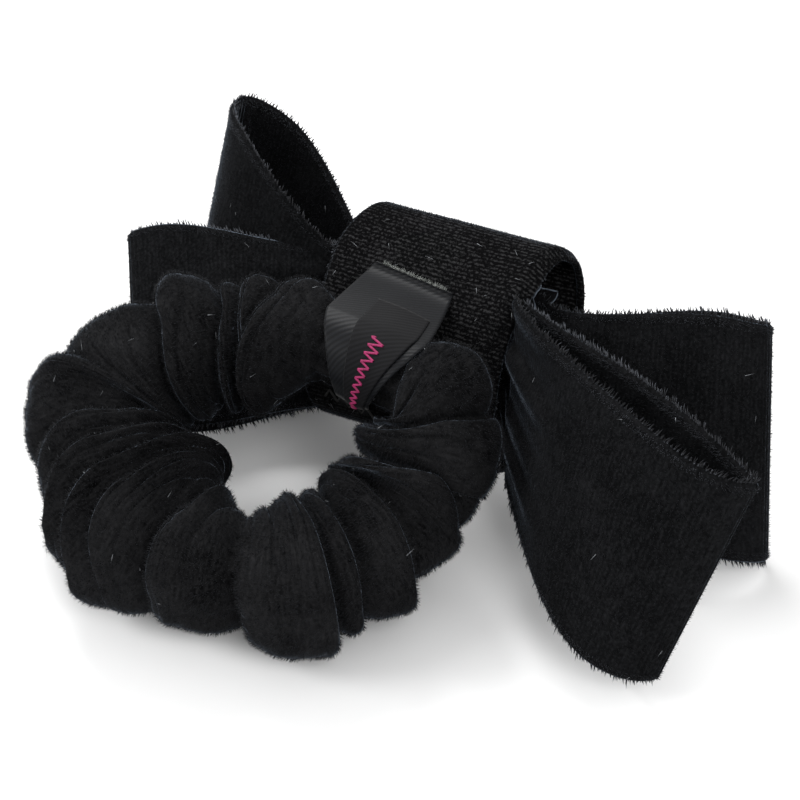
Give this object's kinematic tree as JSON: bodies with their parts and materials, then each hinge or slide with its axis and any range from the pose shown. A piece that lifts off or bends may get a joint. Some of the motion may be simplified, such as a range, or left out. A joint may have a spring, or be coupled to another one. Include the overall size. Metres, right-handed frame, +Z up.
{
  "type": "scrunchie",
  "caption": "Gathered velvet hair scrunchie with an elastic inside, tied by a satin strap to a double ribbon bow with a wide centre wrap.",
  "frame": {"origin": "centre of the base of the object's box, on the surface that it rests on", "axes": "+X along the bow towards its right loops, +Y from the ring's free side to the bow, +Z up"},
  "size_m": [0.1584, 0.1438, 0.0545],
  "materials": {
    "velvet_casing": "gathered velvet pile, matte with a soft sheen on the folds",
    "velvet_ribbon": "ribbed velvet pile, matte with a soft sheen at grazing angles",
    "satin_strap": "fine satin twill, low sheen",
    "elastic": "woven elastic, matte",
    "thread": "spun polyester thread, matte"
  },
  "bodies": {
    "ring": {"velvet_casing_rear": "velvet_casing", "elastic_band": "elastic", "elastic_lap_thread": "thread", "neck_closing_thread": "thread"},
    "ring_front": {"velvet_casing_front": "velvet_casing"},
    "bow": {"front_bow_middle": "velvet_ribbon", "back_bow_middle": "velvet_ribbon", "bow_binding_thread": "thread", "centre_wrap": "velvet_ribbon", "wrap_closing_thread": "thread", "satin_strap": "satin_strap", "strap_tack_thread": "thread"},
    "front_left": {"front_bow_left_loop": "velvet_ribbon"},
    "front_right": {"front_bow_right_loop": "velvet_ribbon"},
    "back_left": {"back_bow_left_loop": "velvet_ribbon"},
    "back_right": {"back_bow_right_loop": "velvet_ribbon"}
  },
  "joints": [
    {"name": "ring_stretch", "type": "slide", "parent": "ring", "child": "ring_front", "axis": [0, -1, 0], "range_m": [0, 0.03], "stiffness_N_per_m": 150, "deforming": ["elastic_band"]},
    {"name": "bow_swivel", "type": "hinge", "parent": "ring", "child": "bow", "pos_m": [-0.0074, -0.0139, 0.03839], "axis": [0.8327, -0.5535, -0.0151], "range_deg": [0, 45]},
    {"name": "front_left_loop_flex", "type": "hinge", "parent": "bow", "child": "front_left", "pos_m": [-0.01757, 0.01795, 0.02747], "axis": [0.183, 0.6831, 0.7071], "range_deg": [-4, 6], "stiffness_Nm_per_rad": 0.05},
    {"name": "front_right_loop_flex", "type": "hinge", "parent": "bow", "child": "front_right", "pos_m": [0.02772, -0.0111, 0.03218], "axis": [0.183, 0.6831, 0.7071], "range_deg": [-12, 8], "stiffness_Nm_per_rad": 0.05},
    {"name": "back_left_loop_flex", "type": "hinge", "parent": "bow", "child": "back_left", "pos_m": [-0.00955, 0.02545, 0.027], "axis": [0, 0, 1], "range_deg": [-12, 0], "stiffness_Nm_per_rad": 0.05},
    {"name": "back_right_loop_flex", "type": "hinge", "parent": "bow", "child": "back_right", "pos_m": [0.03194, -0.00867, 0.02877], "axis": [0.183, 0.6831, 0.7071], "range_deg": [-10, 8], "stiffness_Nm_per_rad": 0.05}
  ]
}
